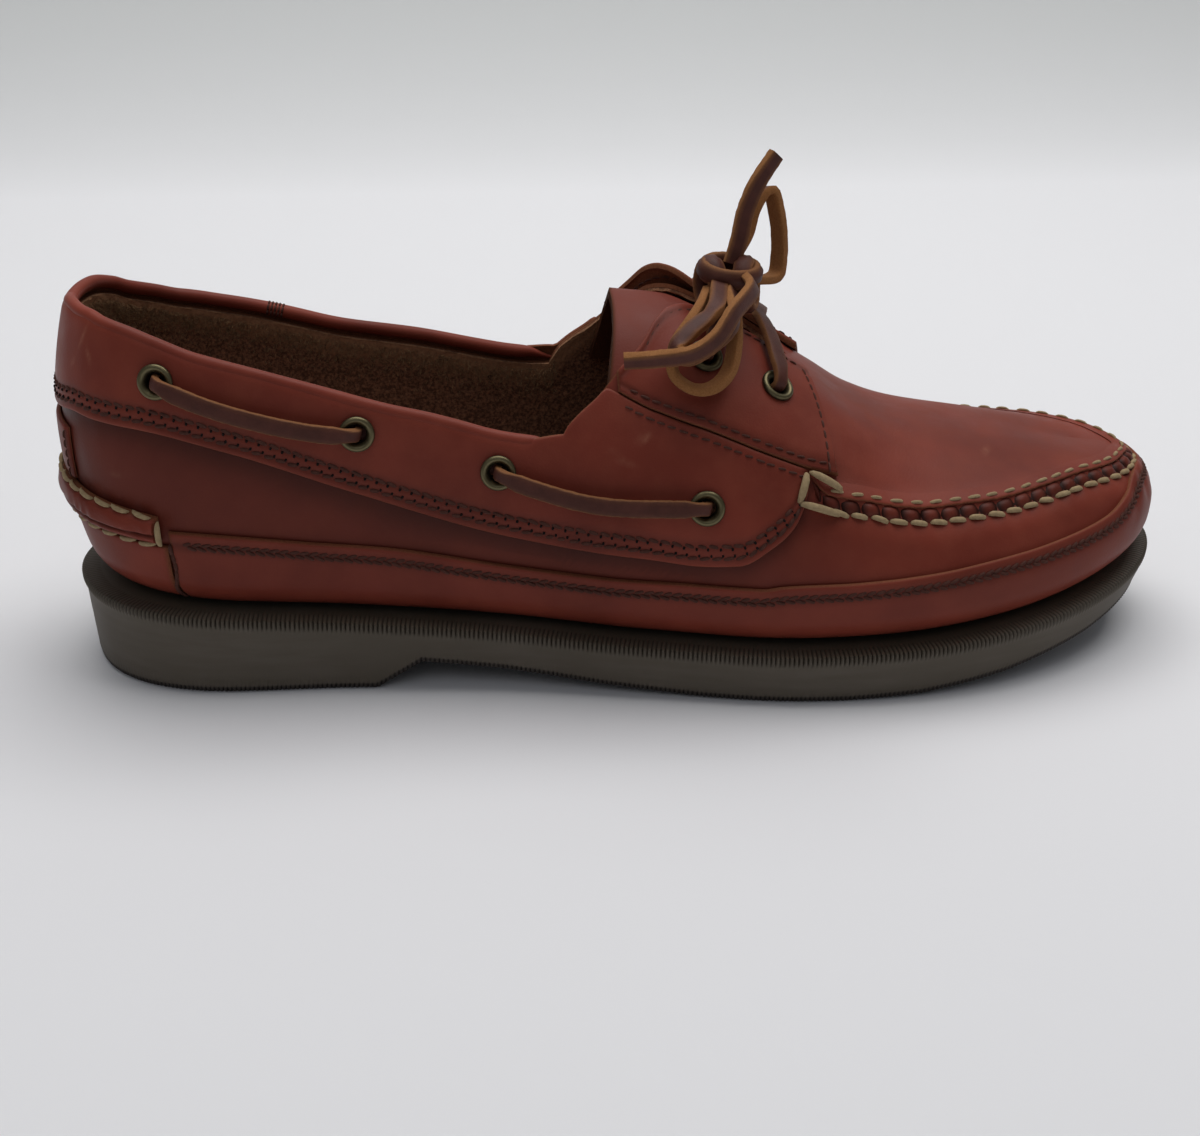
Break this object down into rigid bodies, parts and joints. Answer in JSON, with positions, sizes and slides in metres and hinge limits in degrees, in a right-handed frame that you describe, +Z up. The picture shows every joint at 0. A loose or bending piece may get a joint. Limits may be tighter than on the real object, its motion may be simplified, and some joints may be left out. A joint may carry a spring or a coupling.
{
  "type": "boat shoe",
  "caption": "Right boat shoe with a moccasin toe, a low heeled rubber sole, a leather side lace through metal eyelets and a rawhide bow.",
  "frame": {"origin": "centre of the footprint box at ground level, measured without the bow", "axes": "+X from heel to toe, +Z up, the outer side of the foot towards -Y"},
  "size_m": [0.3032, 0.1056, 0.1349],
  "materials": {
    "leather": "smooth oiled mahogany",
    "leather_dark": "darker rolled edge and tongue",
    "lining": "brushed dark brown",
    "rubber": "matt taupe, ribbed rim",
    "rawhide": "rough cut lace",
    "brass": "antiqued"
  },
  "bodies": {
    "root": {"bow_end_side": "rawhide", "bow_end_up": "rawhide", "bow_fold_near": "rawhide", "bow_loop_far": "rawhide", "bow_loop_near": "rawhide", "collar_roll": "leather_dark", "eyelet_front_inner": "brass", "eyelet_front_outer": "brass", "eyelet_instep_inner": "brass", "eyelet_instep_outer": "brass", "eyelet_rear_inner": "brass", "eyelet_rear_outer": "brass", "eyelet_throat_inner": "brass", "eyelet_throat_outer": "brass", "eyelet_waist_front_inner": "brass", "eyelet_waist_front_outer": "brass", "eyelet_waist_rear_inner": "brass", "eyelet_waist_rear_outer": "brass", "eyestay_inner": "leather", "eyestay_outer": "leather", "foxing": "leather", "heel_cup": "leather", "heel_ridge": "leather", "heel_stay": "leather", "insole": "lining", "knot": "rawhide", "lace_bar_instep": "rawhide", "lace_bar_throat": "rawhide", "moc_seam": "leather", "outsole": "rubber", "quarter_band": "leather", "side_lace_inner": "rawhide", "side_lace_outer": "rawhide", "tongue": "leather_dark", "upper": "leather"}
  },
  "joints": []
}
